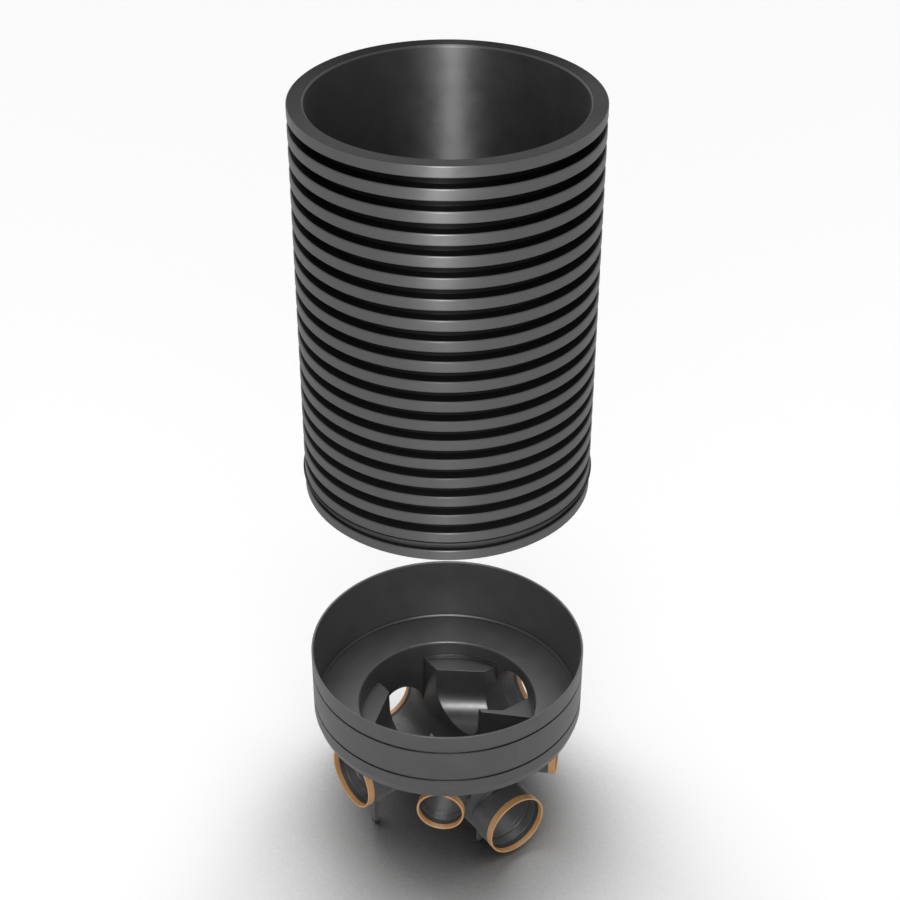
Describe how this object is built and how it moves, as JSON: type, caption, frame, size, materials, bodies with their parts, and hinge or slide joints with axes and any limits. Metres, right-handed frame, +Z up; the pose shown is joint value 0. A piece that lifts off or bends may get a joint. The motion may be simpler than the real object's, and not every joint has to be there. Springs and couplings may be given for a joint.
{
  "type": "drain inspection chamber",
  "caption": "Drain inspection chamber: ribbed riser shaft above a moulded base with open channels and ringed pipe sockets, the shaft lifted clear of the collar it slides into.",
  "frame": {"origin": "on the chamber's vertical axis, on the plane that its feet stand on", "axes": "+Z up along the shaft; +Y along the main flow to the outlet; +X to the right of the flow"},
  "size_m": [0.7259, 0.726, 2.0672],
  "materials": {
    "riser_plastic": "semi-matt dark grey polypropylene",
    "base_plastic": "semi-matt dark grey polypropylene",
    "seal_rubber": "matt black elastomer",
    "ring_plastic": "satin orange-brown polypropylene"
  },
  "bodies": {
    "base": {"collar": "base_plastic", "base_body": "base_plastic", "main_inlet_socket": "base_plastic", "main_inlet_lip_seal": "seal_rubber", "main_inlet_retaining_ring": "ring_plastic", "outlet_socket": "base_plastic", "outlet_lip_seal": "seal_rubber", "outlet_retaining_ring": "ring_plastic", "right_side_socket": "base_plastic", "right_side_lip_seal": "seal_rubber", "right_side_retaining_ring": "ring_plastic", "left_side_socket": "base_plastic", "left_side_lip_seal": "seal_rubber", "left_side_retaining_ring": "ring_plastic", "right_branch_socket": "base_plastic", "right_branch_lip_seal": "seal_rubber", "right_branch_retaining_ring": "ring_plastic", "left_branch_socket": "base_plastic", "left_branch_lip_seal": "seal_rubber", "left_branch_retaining_ring": "ring_plastic"},
    "riser": {"riser_shaft": "riser_plastic", "shaft_seal": "seal_rubber"}
  },
  "joints": [
    {"name": "riser_slide", "type": "slide", "parent": "base", "child": "riser", "axis": [0, 0, 1], "range_m": [-0.7454, 0]}
  ]
}
